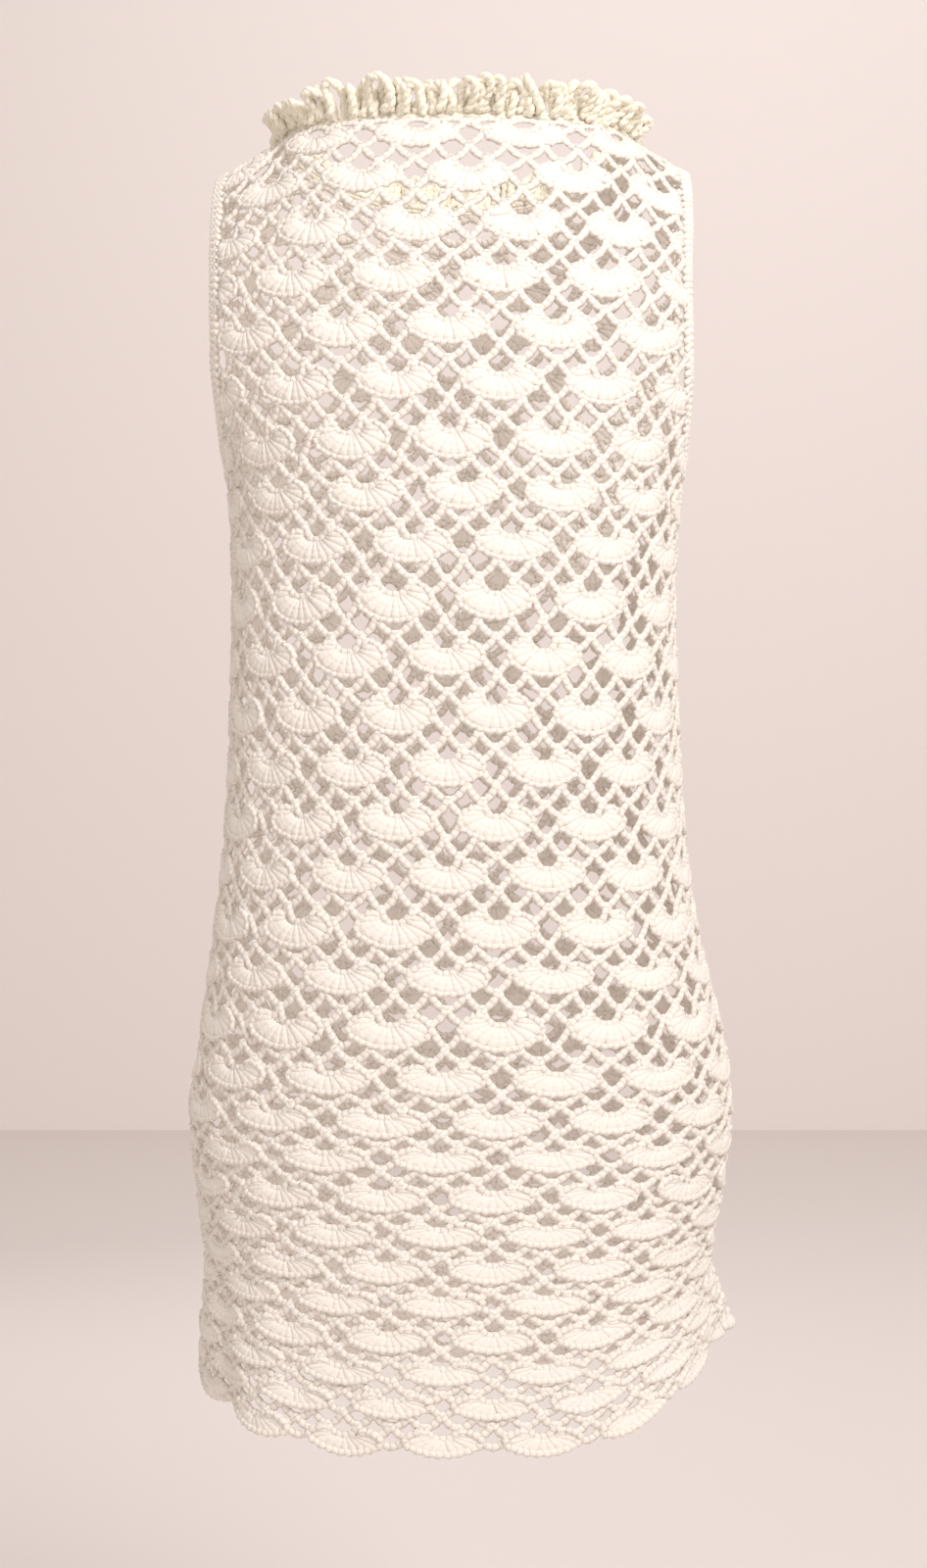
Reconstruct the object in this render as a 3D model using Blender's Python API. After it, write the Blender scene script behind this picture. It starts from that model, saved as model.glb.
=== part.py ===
"""Crochet shift dress: a sleeveless shell-lace dress in its hollow, worn form.

Metres, +Z up. The origin is between the shoulders, at the height of the neck points, where
the wearer holds the dress up. The back of the dress faces -Y and the front +Y.

Pieces: back panel and front panel, joined at the shoulder and side seams; an edging round
each armhole; a neck band with a fringe of looped cords. The dress is worked from the neck
down, in rows of shells that stand between each other, and the bowl-shaped gap over each
shell is cut through the wall.
"""

import math

import bmesh
import bpy
import numpy as np

# ---------------------------------------------------------------- sizes

WALL = 0.0030  # the plain lace, one yarn over another
SHELL_WALL = 0.0042  # the wall where a shell lies on it
SEAM_GAP = 0.0003  # between pieces that are sewn together
SECTION_POWER = 2.3  # 2 is an ellipse, more is squarer
SECTION_STEPS = 48  # steps along half a section, for measuring along it

NECK_HALF_WIDTH = 0.119  # the neck points
NECK_RISE = 0.050  # how far the shoulders would rise to the middle of the neck
FRONT_SCOOP = 0.030  # how much lower the front neckline is
SHOULDER_SLOPE = 0.57
SHOULDER_ROUND = 0.140  # the drop over which the shoulder turns down into the panel
NECK_FADE = 0.140  # the drop over which the rows stop following the top edge

UNDERARM_Z = -0.2265
ARMHOLE_FULL_Z = -0.150  # the armhole is at its full depth above this
ARMHOLE_DEPTH = 0.062  # from the middle plane to the armhole's edge, there
SHOULDER_RATIO = 0.892  # how far across its section a panel reaches beside the arm

HEM_Z = -0.876  # the lowest point of a shell on the hem
HEM_NOTCH = 0.013  # how far up the hem goes between two shells
HEM_ROUND = 0.0025  # how far up it is halfway to the notch

HOLE_HALF_WIDTH = 0.145  # a bowl gap's size, in repeats across
HOLE_FLOOR = 0.075  # half the width of its flat bottom, in repeats
HOLE_UP = 0.0070
HOLE_SIDE_UP = 0.0015
HOLE_DOWN = 0.0068
SIDE_MARGIN = 0.026  # plain lace between the side seam and the nearest cut repeat
EDGE_MARGIN = 0.009  # the same at an armhole

NECK_ROWS_Z = (0.0, -0.006, -0.020)  # the plain rows at the neck
NECK_STEPS = 18  # steps along a panel's neckline
SHOULDER_STEPS = 3  # steps along each shoulder seam
UNDERARM_STATIONS_Z = (-0.2190, -0.2245)  # more points where the armhole turns

EDGING_WIDTH = 0.0075
EDGING_WALL = 0.0034
NECK_BAND_WIDTH = 0.0050
NECK_BAND_WALL = 0.0040

LOCKS = 66
LOCK_HEIGHT = 0.0245
LOCK_WIDTH = 0.0068
LOCK_DEPTH = 0.0052
LOCK_LEAN = 0.35  # how far a loop leans out, as a share of its height
LOCK_BENDS = 3

# The dress at each height: how far it reaches from the middle plane to each side, as seen
# from behind, and how far back and forward.
SECTION_COLUMNS = ("z", "left", "right", "back", "front")
SECTIONS = (
    (0.060, 0.172, 0.168, 0.080, 0.078),
    (-0.030, 0.179, 0.171, 0.099, 0.094),
    (-0.100, 0.179, 0.169, 0.115, 0.108),
    (-0.160, 0.176, 0.168, 0.121, 0.121),
    (-0.2265, 0.157, 0.153, 0.123, 0.131),
    (-0.306, 0.152, 0.1465, 0.123, 0.128),
    (-0.374, 0.153, 0.148, 0.123, 0.122),
    (-0.442, 0.155, 0.151, 0.123, 0.119),
    (-0.494, 0.1585, 0.155, 0.125, 0.119),
    (-0.560, 0.1665, 0.166, 0.128, 0.121),
    (-0.612, 0.1735, 0.179, 0.131, 0.124),
    (-0.668, 0.181, 0.185, 0.132, 0.127),
    (-0.715, 0.176, 0.1795, 0.132, 0.130),
    (-0.776, 0.1695, 0.170, 0.131, 0.133),
    (-0.825, 0.172, 0.172, 0.130, 0.136),
    (-0.880, 0.170, 0.173, 0.129, 0.138),
)

# The rows of shells: the height of the gap over each shell, how far the middle shell is to
# the right of the middle plane, and the width of one repeat.
ROW_COLUMNS = ("z", "shift", "repeat")
ROWS = (
    (-0.034, 0.007, 0.0704),
    (-0.068, -0.027, 0.0693),
    (-0.103, 0.028, 0.0694),
    (-0.137, -0.006, 0.0697),
    (-0.172, 0.028, 0.0677),
    (-0.208, -0.003, 0.0658),
    (-0.245, 0.004, 0.0640),
    (-0.277, -0.029, 0.0652),
    (-0.312, 0.024, 0.0642),
    (-0.351, -0.007, 0.0633),
    (-0.386, 0.024, 0.0623),
    (-0.423, -0.006, 0.0620),
    (-0.457, 0.025, 0.0640),
    (-0.492, -0.006, 0.0642),
    (-0.525, 0.026, 0.0665),
    (-0.560, -0.006, 0.0680),
    (-0.590, 0.028, 0.0715),
    (-0.625, -0.010, 0.0740),
    (-0.652, 0.026, 0.0745),
    (-0.677, -0.012, 0.0735),
    (-0.700, 0.022, 0.0703),
    (-0.725, -0.011, 0.0685),
    (-0.747, 0.021, 0.0675),
    (-0.770, -0.010, 0.0680),
    (-0.791, 0.023, 0.0670),
    (-0.815, -0.009, 0.0660),
    (-0.835, 0.022, 0.0640),
    (-0.857, -0.009, 0.0640),
)

# The largest folds: degrees round from the middle of the back towards the right, the
# fold's half width in degrees, how far out (or in, below zero) it comes at the hem, and
# the height at which it starts.
FOLD_COLUMNS = ("angle", "spread", "out", "from_z")
FOLDS = (
    (104.0, 15.0, 0.0240, -0.745),
    (80.0, 8.0, -0.0060, -0.760),
    (48.0, 10.0, 0.0035, -0.780),
    (14.0, 9.0, -0.0035, -0.790),
    (-24.0, 9.0, -0.0030, -0.800),
    (-44.0, 9.0, 0.0045, -0.720),
    (-62.0, 8.0, -0.0060, -0.700),
    (-98.0, 14.0, 0.0050, -0.760),
    (-138.0, 11.0, -0.0050, -0.740),
    (-160.0, 12.0, 0.0045, -0.770),
    (152.0, 10.0, -0.0050, -0.750),
    (176.0, 11.0, -0.0035, -0.780),
)

# How far the hem rises at each side seam over its lowest level, how many degrees round from
# the middle this starts, and the level from which the rows follow it.
HEM_RISE_LEFT = 0.022
HEM_RISE_RIGHT = 0.052
HEM_RISE_START = 22.0
HEM_RISE_Z = -0.720

BACK, FRONT = -1.0, 1.0
LEFT, RIGHT = -1.0, 1.0

CREAM = (0.93, 0.88, 0.80, 1.0)
TRIM_CREAM = (0.91, 0.84, 0.66, 1.0)


# ---------------------------------------------------------------- the garment's surface


def column(table, columns, name):
    """One named column of a table, as an array."""
    return np.array([row[columns.index(name)] for row in table])


SECTION_Z = column(SECTIONS, SECTION_COLUMNS, "z")[::-1]
SECTION_SIZE = {name: column(SECTIONS, SECTION_COLUMNS, name)[::-1] for name in SECTION_COLUMNS}


def size_at(name, z):
    """A section's size at a height, eased between the table's rows."""
    heights, sizes = SECTION_Z, SECTION_SIZE[name]
    slopes = np.gradient(sizes, heights)
    z = np.clip(z, heights[0], heights[-1])
    i = np.clip(np.searchsorted(heights, z) - 1, 0, len(heights) - 2)
    step = heights[i + 1] - heights[i]
    t = (z - heights[i]) / step
    return (
        sizes[i] * (1 + 2 * t) * (1 - t) ** 2
        + slopes[i] * step * t * (1 - t) ** 2
        + sizes[i + 1] * t**2 * (3 - 2 * t)
        + slopes[i + 1] * step * t**2 * (t - 1)
    )


def shoulder_line(x):
    """The height of the shoulders at a distance from the middle, over the neck too."""
    x = np.abs(x)
    over_neck = NECK_RISE * (1 - (np.minimum(x, NECK_HALF_WIDTH) / NECK_HALF_WIDTH) ** 3)
    return over_neck - SHOULDER_SLOPE * np.maximum(x - NECK_HALF_WIDTH, 0)


def top_edge(side, x):
    """The height of a panel's top edge: the neckline, then the shoulder seam."""
    x = np.abs(x)
    inside = np.minimum(x, NECK_HALF_WIDTH) / NECK_HALF_WIDTH
    scoop = FRONT_SCOOP * (1 - inside**2) ** 0.75 if side == FRONT else 0.0
    return -scoop - SHOULDER_SLOPE * np.maximum(x - NECK_HALF_WIDTH, 0)


def fold_out(angle, z):
    """How far the folds bring the cloth out, at an angle round the dress and a height."""
    out = np.zeros_like(angle)
    for row in FOLDS:
        fold = dict(zip(FOLD_COLUMNS, row))
        away = (angle - fold["angle"] + 180.0) % 360.0 - 180.0
        grown = np.clip((fold["from_z"] - z) / (fold["from_z"] - HEM_Z), 0.0, 1.0)
        out = out + fold["out"] * grown**1.5 * np.exp(-((away / fold["spread"]) ** 2))
    return out


def hem_rise(across, level):
    """How far a row near the hem rises towards the side seams."""
    grown = max(0.0, (HEM_RISE_Z - level) / (HEM_RISE_Z - HEM_Z)) ** 1.5
    degrees = np.abs(across) * 90.0
    share = np.clip((degrees - HEM_RISE_START) / (90.0 - HEM_RISE_START), 0.0, 1.0)
    most = np.where(across < 0, HEM_RISE_LEFT, HEM_RISE_RIGHT)
    return most * grown * np.sin(share * math.pi / 2) ** 1.3


def row_line(side, level):
    """A line across a panel at one level.

    Returns the distance along it from the middle plane, its points, and how far across its
    section each one is, from -1 to 1. The level is the height of the line well below the
    neck; near the neck the line follows the top edge.
    """
    across = np.linspace(-1.0, 1.0, 2 * SECTION_STEPS + 1)
    turn = np.abs(across) * math.pi / 2
    fade = max(0.0, 1.0 + level / NECK_FADE) ** 2
    half = np.where(across < 0, size_at("left", level), size_at("right", level))
    x = np.sign(across) * half * np.sin(turn) ** (2 / SECTION_POWER)
    z = level + top_edge(side, x) * fade
    drop = np.clip((shoulder_line(x) - z) / SHOULDER_ROUND, 0.0, 1.0)
    depth = size_at("back" if side == BACK else "front", level) * np.sqrt(1 - (1 - drop) ** 2)
    y = depth * np.abs(np.cos(turn)) ** (2 / SECTION_POWER)

    angle = np.degrees(turn) * np.sign(across)
    if side == FRONT:
        angle = np.where(across < 0, -180.0, 180.0) - angle
    out = fold_out(angle, z)
    lean_x, lean_y = x / half**2, y / max(depth.max(), 1e-6) ** 2
    lean = np.hypot(lean_x, lean_y)
    x = x + out * lean_x / lean
    y = side * (y + out * lean_y / lean * np.minimum(y / 0.02, 1.0) + SEAM_GAP / 2)
    z = z + hem_rise(across, level)

    points = np.stack([x, y, z], axis=1)
    steps = np.linalg.norm(np.diff(points, axis=0), axis=1)
    along = np.concatenate([[0.0], np.cumsum(steps)])
    return along - along[SECTION_STEPS], points, across


def edge_ratio(side, level):
    """How far across its section a panel reaches, 1 at a side seam."""
    if level <= UNDERARM_Z:
        return 1.0
    if level >= ARMHOLE_FULL_Z:
        return SHOULDER_RATIO
    rise = (ARMHOLE_FULL_Z - level) / (ARMHOLE_FULL_Z - UNDERARM_Z)
    reach = ARMHOLE_DEPTH * math.sqrt(1 - rise**2)
    depth = size_at("back" if side == BACK else "front", level)
    return (1 - (reach / depth) ** SECTION_POWER) ** (1 / SECTION_POWER)


def panel_edges(side, level):
    """The distance along a row line to the panel's left and right edge."""
    along, _, across = row_line(side, level)
    turn = math.asin(min(1.0, edge_ratio(side, level) ** (SECTION_POWER / 2))) / (math.pi / 2)
    return float(np.interp(-turn, across, along)), float(np.interp(turn, across, along))


def top_stations(side, level):
    """Distances along a line at the neck: left shoulder, neckline, right shoulder."""
    along, points, _ = row_line(side, level)
    left, right = panel_edges(side, level)
    neck = np.interp((-NECK_HALF_WIDTH, NECK_HALF_WIDTH), points[:, 0], along)
    shoulder_left = np.linspace(left, neck[0], SHOULDER_STEPS + 1)
    neckline = np.linspace(neck[0], neck[1], NECK_STEPS + 1)
    shoulder_right = np.linspace(neck[1], right, SHOULDER_STEPS + 1)
    return np.concatenate([shoulder_left, neckline[1:], shoulder_right[1:]])


def cloth_point(side, along, level):
    """A point of the cloth's inside."""
    distance, points, _ = row_line(side, level)
    return np.array([np.interp(along, distance, points[:, k]) for k in range(3)])


def cloth_normal(side, along, level):
    """The direction out of the cloth at a point."""
    left, right = panel_edges(side, level)
    step = 0.002
    start = min(max(along - step, left), right - 2 * step)
    across = cloth_point(side, start + 2 * step, level) - cloth_point(side, start, level)
    upper = min(level + step, 0.0)
    up = cloth_point(side, along, upper) - cloth_point(side, along, upper - 2 * step)
    normal = np.cross(across, up) if side == BACK else np.cross(up, across)
    return normal / np.linalg.norm(normal)


# ---------------------------------------------------------------- modelling helpers


def material(name, colour, roughness):
    """A plain, matt Principled material."""
    made = bpy.data.materials.new(name)
    made.use_nodes = True
    shader = made.node_tree.nodes["Principled BSDF"]
    shader.inputs["Base Color"].default_value = colour
    shader.inputs["Roughness"].default_value = roughness
    shader.inputs["Metallic"].default_value = 0.0
    return made


def new_object(name, points, faces, finish, collection):
    """An object with a mesh of these points and faces."""
    mesh = bpy.data.meshes.new(name)
    mesh.from_pydata([tuple(p) for p in points], [], faces)
    mesh.update()
    mesh.materials.append(finish)
    made = bpy.data.objects.new(name, mesh)
    collection.objects.link(made)
    return made


def wall_faces(faces, count):
    """The faces of a wall: an outer layer, an inner layer `count` points on, and its rims."""
    sides = {}
    for face in faces:
        for a, b in zip(face, face[1:] + face[:1]):
            sides[(a, b)] = True
    rims = [(b, a, a + count, b + count) for a, b in sides if (b, a) not in sides]
    inner = [tuple(v + count for v in reversed(face)) for face in faces]
    return [tuple(face) for face in faces] + inner + rims


def strip_between(upper, lower, plane, from_edge=False):
    """Triangles between two chains of points that run the same way.

    Each step takes the shorter way across. With from_edge, the lower chain starts down the
    panel's edge under the upper chain's first point, so the upper chain steps first.
    """
    faces = []
    i = j = 0
    while i < len(upper) - 1 or j < len(lower) - 1:
        if j == len(lower) - 1 or (from_edge and i == 0):
            take_upper = True
        elif i == len(upper) - 1:
            take_upper = False
        else:
            over = math.dist(plane[upper[i + 1]], plane[lower[j]])
            take_upper = over <= math.dist(plane[upper[i]], plane[lower[j + 1]])
        if take_upper:
            faces.append([upper[i], lower[j], upper[i + 1]])
            i += 1
        else:
            faces.append([upper[i], lower[j], lower[j + 1]])
            j += 1
    return faces


# ---------------------------------------------------------------- the panels


class Panel:
    """The lace of one panel, as points on the cloth and triangles between them."""

    def __init__(self, side):
        self.side = side
        self.plane = []  # distance along the row, level
        self.walls = []
        self.faces = []
        self.cut = 0

    def point(self, along, level, wall=WALL):
        """Adds a point and returns its number."""
        self.plane.append((along, level))
        self.walls.append(wall)
        return len(self.plane) - 1

    def edge_levels(self, upper, lower):
        """The levels of the points down an edge between two chains, without their ends."""
        levels = [(upper + lower) / 2]
        levels += [z for z in UNDERARM_STATIONS_Z if lower < z < upper]
        return sorted(levels, reverse=True)

    def chain_between(self, level, row, next_row):
        """The points between two rows of shells: under each shell, and between shells."""
        left, right = panel_edges(self.side, level)
        half = (row["repeat"] + next_row["repeat"]) / 4
        offset = (next_row["shift"] - row["shift"] + half / 2) % half - half / 2
        middle = row["shift"] + offset / 2
        chain = [self.point(left, level)]
        first = math.ceil((left + EDGE_MARGIN - middle) / half)
        last = math.floor((right - EDGE_MARGIN - middle) / half)
        for k in range(first, last + 1):
            along = middle + k * half
            nearest = round((along - row["shift"]) / row["repeat"])
            under_shell = abs(along - row["shift"] - nearest * row["repeat"]) < half / 2
            chain.append(self.point(along, level, SHELL_WALL if under_shell else WALL))
        chain.append(self.point(right, level))
        return chain

    def hem_chain(self, row):
        """The scalloped hem, a shell's edge in each repeat."""
        left, right = panel_edges(self.side, HEM_Z)
        quarter = row["repeat"] / 4
        chain = [self.point(left, HEM_Z + HEM_NOTCH / 2)]
        first = math.ceil((left + EDGE_MARGIN - row["shift"]) / quarter)
        last = math.floor((right - EDGE_MARGIN - row["shift"]) / quarter)
        for k in range(first, last + 1):
            rise = (0.0, HEM_ROUND, HEM_NOTCH, HEM_ROUND)[k % 4]
            wall = (SHELL_WALL, SHELL_WALL, WALL, SHELL_WALL)[k % 4]
            chain.append(self.point(row["shift"] + k * quarter, HEM_Z + rise, wall))
        chain.append(self.point(right, HEM_Z + HEM_NOTCH / 2))
        return chain

    def gap_over_shell(self, along, row):
        """The outline of a bowl gap: a point at the top, full sides and a flat bottom."""
        wide = HOLE_HALF_WIDTH * row["repeat"]
        floor = HOLE_FLOOR * row["repeat"]
        return [
            self.point(along, row["z"] + HOLE_UP),
            self.point(along - wide, row["z"] + HOLE_SIDE_UP),
            self.point(along - floor, row["z"] - HOLE_DOWN, SHELL_WALL),
            self.point(along + floor, row["z"] - HOLE_DOWN, SHELL_WALL),
            self.point(along + wide, row["z"] + HOLE_SIDE_UP),
        ]

    def nearest(self, chain, along):
        """The place in a chain of the inner point nearest to a distance."""
        return min(range(1, len(chain) - 1), key=lambda i: abs(self.plane[chain[i]][0] - along))

    def shell_row(self, upper, lower, row, edges):
        """Fills a row between two chains, with a gap cut over each whole shell."""
        left, right = panel_edges(self.side, row["z"])
        margin = SIDE_MARGIN if row["z"] < UNDERARM_Z else EDGE_MARGIN
        half = row["repeat"] / 2
        cells = []
        for k in range(-6, 7):
            along = row["shift"] + k * row["repeat"]
            if along - half < left + margin or along + half > right - margin:
                continue
            top = [self.nearest(upper, along + d) for d in (-half, half)]
            low = [self.nearest(lower, along + d) for d in (-half, half)]
            cells.append((along, top, low))
        for along, top, low in cells:
            above, below = upper[top[0] : top[1] + 1], lower[low[0] : low[1] + 1]
            peak, side_left, floor_left, floor_right, side_right = self.gap_over_shell(along, row)
            self.faces += strip_between(above, [side_left, peak, side_right], self.plane)
            bowl = [side_left, floor_left, floor_right, side_right]
            self.faces += strip_between(bowl, below, self.plane)
            self.faces.append([above[0], below[0], side_left])
            self.faces.append([above[-1], side_right, below[-1]])
            self.cut += 1
        down_left, down_right = edges
        above, below = upper[: cells[0][1][0] + 1], down_left + lower[: cells[0][2][0] + 1]
        self.faces += strip_between(above, below, self.plane, from_edge=True)
        above = upper[cells[-1][1][1] :][::-1]
        below = down_right + lower[cells[-1][2][1] :][::-1]
        mirrored = strip_between(above, below, self.plane, from_edge=True)
        self.faces += [face[::-1] for face in mirrored]

    def edge_points(self, upper, lower):
        """The points down the left and right edge between two levels."""
        downs = ([], [])
        for level in self.edge_levels(upper, lower):
            for down, along in zip(downs, panel_edges(self.side, level)):
                down.append(self.point(along, level))
        return downs

    def work(self):
        """Works the panel from the neck down."""
        rows = [dict(zip(ROW_COLUMNS, row)) for row in ROWS]
        chains = []
        for level in NECK_ROWS_Z[:-1]:
            chains.append([self.point(s, level) for s in top_stations(self.side, level)])
        self.faces += strip_between(chains[0], chains[1], self.plane)
        before_first = dict(rows[0], shift=rows[0]["shift"] + rows[0]["repeat"] / 2)
        upper_level = NECK_ROWS_Z[-1]
        upper = self.chain_between(upper_level, before_first, rows[0])
        self.faces += strip_between(chains[1], upper, self.plane)
        for i, row in enumerate(rows):
            if i + 1 < len(rows):
                lower_level = (row["z"] + rows[i + 1]["z"]) / 2
                if abs(lower_level - UNDERARM_Z) < 0.001:
                    lower_level = UNDERARM_Z
                lower = self.chain_between(lower_level, row, rows[i + 1])
            else:
                lower_level = HEM_Z
                lower = self.hem_chain(row)
            edges = self.edge_points(upper_level, lower_level)
            self.shell_row(upper, lower, row, edges)
            upper, upper_level = lower, lower_level

    def build(self, name, finish, collection):
        """The panel as a solid wall."""
        inner = [cloth_point(self.side, *place) for place in self.plane]
        out = [cloth_normal(self.side, *place) for place in self.plane]
        outer = [p + n * wall for p, n, wall in zip(inner, out, self.walls)]
        faces = self.faces if self.side == BACK else [face[::-1] for face in self.faces]
        return new_object(name, outer + inner, wall_faces(faces, len(outer)), finish, collection)


# ---------------------------------------------------------------- bands along an edge


def unit(vector):
    return vector / np.linalg.norm(vector)


def closed_edge(stations):
    """Joins back and front stations into a closed line, with the way out at each point."""
    points = [np.mean([cloth_point(*place) for place in group], axis=0) for group in stations]
    normals = [unit(sum(cloth_normal(*place) for place in group)) for group in stations]
    return np.array(points), np.array(normals)


def band_frame(points, normals, inside):
    """The direction across a band at each point, away from the cloth that `inside` is in."""
    ahead = np.roll(points, -1, axis=0) - np.roll(points, 1, axis=0)
    across = np.cross(ahead, normals)
    across /= np.linalg.norm(across, axis=1)[:, None]
    if np.sum(across * (points - inside)) < 0:
        across = -across
    return across


def band(name, points, normals, across, width, wall, finish, collection):
    """A closed band of rectangular section that starts a seam's gap from the edge."""
    start = points + across * SEAM_GAP
    end = points + across * (SEAM_GAP + width)
    ring = [start, end, end + normals * wall, start + normals * wall]
    count = len(points)
    faces = []
    for i in range(count):
        after = (i + 1) % count
        for k in range(4):
            turn = (k + 1) % 4
            faces.append((k * count + i, turn * count + i, turn * count + after, k * count + after))
    made = new_object(name, np.concatenate(ring), faces, finish, collection)
    face_out(made)
    return made


def face_out(made):
    """Turns every face of a closed mesh outwards."""
    shape = bmesh.new()
    shape.from_mesh(made.data)
    bmesh.ops.recalc_face_normals(shape, faces=shape.faces)
    if shape.calc_volume(signed=True) < 0:
        bmesh.ops.reverse_faces(shape, faces=shape.faces)
    shape.to_mesh(made.data)
    shape.free()


def armhole_stations(way):
    """The places round one armhole, up its back edge and down its front edge."""
    levels = list(NECK_ROWS_Z)
    upper = NECK_ROWS_Z[-1]
    heights = [row[0] for row in ROWS]
    helper = Panel(BACK)
    for above, below in zip(heights, heights[1:]):
        lower = (above + below) / 2
        if abs(lower - UNDERARM_Z) < 0.001:
            lower = UNDERARM_Z
        levels += helper.edge_levels(upper, lower) + [lower]
        upper = lower
        if lower == UNDERARM_Z:
            break
    end = 0 if way == LEFT else 1

    def edge_place(side, level):
        return (side, panel_edges(side, level)[end], level)

    bottom = [edge_place(BACK, UNDERARM_Z), edge_place(FRONT, UNDERARM_Z)]
    top = [edge_place(BACK, 0.0), edge_place(FRONT, 0.0)]
    up = [[edge_place(BACK, level)] for level in levels[-2:0:-1]]
    down = [[edge_place(FRONT, level)] for level in levels[1:-1]]
    return [bottom] + up + [top] + down


def neck_stations():
    """The places round the neckline, along the back and then along the front."""
    on_neck = slice(SHOULDER_STEPS, SHOULDER_STEPS + NECK_STEPS + 1)
    back = [(BACK, s, 0.0) for s in top_stations(BACK, 0.0)[on_neck]]
    front = [(FRONT, s, 0.0) for s in top_stations(FRONT, 0.0)[on_neck]][::-1]
    over_back = [[place] for place in back[1:-1]]
    over_front = [[place] for place in front[1:-1]]
    return [[front[-1], back[0]]] + over_back + [[back[-1], front[0]]] + over_front


def lock_mesh(points, normals, across):
    """The looped cords of the fringe, each a curved four-sided lock, as one mesh."""
    closed = np.concatenate([points, points[:1]])
    along = np.concatenate([[0.0], np.cumsum(np.linalg.norm(np.diff(closed, axis=0), axis=1))])
    vertices, faces = [], []

    def at(values, distance):
        ring = np.concatenate([values, values[:1]])
        return np.array([np.interp(distance, along, ring[:, k]) for k in range(3)])

    for n in range(LOCKS):
        distance = (n + 0.5) / LOCKS * along[-1]
        out = unit(at(normals, distance))
        beside = unit(at(points, (distance + 0.003) % along[-1]) - at(points, distance))
        root = at(points, distance) + unit(at(across, distance)) * (SEAM_GAP + NECK_BAND_WIDTH * 0.7)
        root = root + out * NECK_BAND_WALL / 2
        away = unit(np.array([out[0], out[1], 0.0]) + 1e-9)
        height = LOCK_HEIGHT * (1.0 + 0.10 * math.sin(2.4 * n) + 0.06 * math.sin(5.1 * n))
        sway = 0.14 * math.sin(3.7 * n)
        first = len(vertices)
        for step in range(LOCK_BENDS + 1):
            share = step / LOCK_BENDS
            centre = root + np.array([0.0, 0.0, height * share])
            centre = centre + away * height * LOCK_LEAN * share**1.6
            centre = centre + beside * height * sway * share
            rounder = 1.0 - 0.25 * share**3
            for u, v in ((-1, -1), (1, -1), (1, 1), (-1, 1)):
                corner = beside * u * LOCK_WIDTH / 2 + away * v * LOCK_DEPTH / 2
                vertices.append(centre + corner * rounder)
        for step in range(LOCK_BENDS):
            a = first + 4 * step
            for k in range(4):
                turn = (k + 1) % 4
                faces.append((a + k, a + turn, a + 4 + turn, a + 4 + k))
        faces.append((first + 3, first + 2, first + 1, first))
        last = first + 4 * LOCK_BENDS
        faces.append((last, last + 1, last + 2, last + 3))
    return vertices, faces


# ---------------------------------------------------------------- the dress


def main():
    for old in list(bpy.data.objects):
        bpy.data.objects.remove(old, do_unlink=True)
    dress = bpy.data.collections.new("crochet_shift_dress")
    helpers = bpy.data.collections.new("cutters")
    bpy.context.scene.collection.children.link(dress)
    bpy.context.scene.collection.children.link(helpers)
    yarn = material("cream_yarn", CREAM, 0.9)
    trim_yarn = material("trim_yarn", TRIM_CREAM, 0.9)

    for name, side in (("back_panel", BACK), ("front_panel", FRONT)):
        panel = Panel(side)
        panel.work()
        panel.build(name, yarn, dress)

    middle = np.array([0.0, 0.0, -0.5])
    for name, way in (("armhole_edging_left", LEFT), ("armhole_edging_right", RIGHT)):
        points, normals = closed_edge(armhole_stations(way))
        centre = points.mean(axis=0)
        across = -band_frame(points, normals, centre)
        band(name, points, normals, across, EDGING_WIDTH, EDGING_WALL, yarn, dress)

    points, normals = closed_edge(neck_stations())
    across = band_frame(points, normals, middle)
    collar = band(
        "neck_trim", points, normals, across, NECK_BAND_WIDTH, NECK_BAND_WALL, trim_yarn, dress
    )
    locks = new_object("trim_locks", *lock_mesh(points, normals, across), trim_yarn, helpers)
    face_out(locks)
    locks.hide_render = True
    locks.display_type = "WIRE"
    join = collar.modifiers.new("rooted_locks", "BOOLEAN")
    join.operation = "UNION"
    join.object = locks


main()
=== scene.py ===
"""Looks of the crochet shift dress: every chain, shell and looped cord as yarn.

Metres, +Z up, in the frame of the solids. The back of the dress faces -Y. The lace is laid
out flat first, as a distance along a row and a level, and then put on the dress's surface.
"""

import logging
import math
from dataclasses import dataclass, field
from enum import Enum
from typing import NamedTuple

import bpy
import numpy as np
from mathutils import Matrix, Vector


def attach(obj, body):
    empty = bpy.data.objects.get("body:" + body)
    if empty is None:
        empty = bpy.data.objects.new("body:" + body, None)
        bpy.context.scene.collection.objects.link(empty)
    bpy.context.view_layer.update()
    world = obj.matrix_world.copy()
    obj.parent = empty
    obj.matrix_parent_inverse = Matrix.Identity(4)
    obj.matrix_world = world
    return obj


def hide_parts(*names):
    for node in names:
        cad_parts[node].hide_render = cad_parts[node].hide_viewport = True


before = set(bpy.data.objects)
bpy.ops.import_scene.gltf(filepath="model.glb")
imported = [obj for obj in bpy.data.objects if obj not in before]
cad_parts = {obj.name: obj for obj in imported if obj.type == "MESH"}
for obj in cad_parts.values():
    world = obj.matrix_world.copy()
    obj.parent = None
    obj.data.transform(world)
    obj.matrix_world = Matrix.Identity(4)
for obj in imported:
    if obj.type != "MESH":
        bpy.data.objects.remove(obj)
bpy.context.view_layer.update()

LOG = logging.getLogger("dress")
ROOT = "root"


class Side(Enum):
    """The two panels, by the way that they face along Y."""

    BACK = -1.0
    FRONT = 1.0


class Section(NamedTuple):
    """The dress at one height: its reach to each side, back and forward."""

    z: float
    left: float
    right: float
    back: float
    front: float


class Fold(NamedTuple):
    """A fold that grows towards the hem: degrees from the middle of the back."""

    angle: float
    spread: float
    out: float
    from_z: float


class ShellRow(NamedTuple):
    """A row of shells: the gap's height, the middle shell's place, the repeat's width."""

    z: float
    shift: float
    repeat: float


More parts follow.
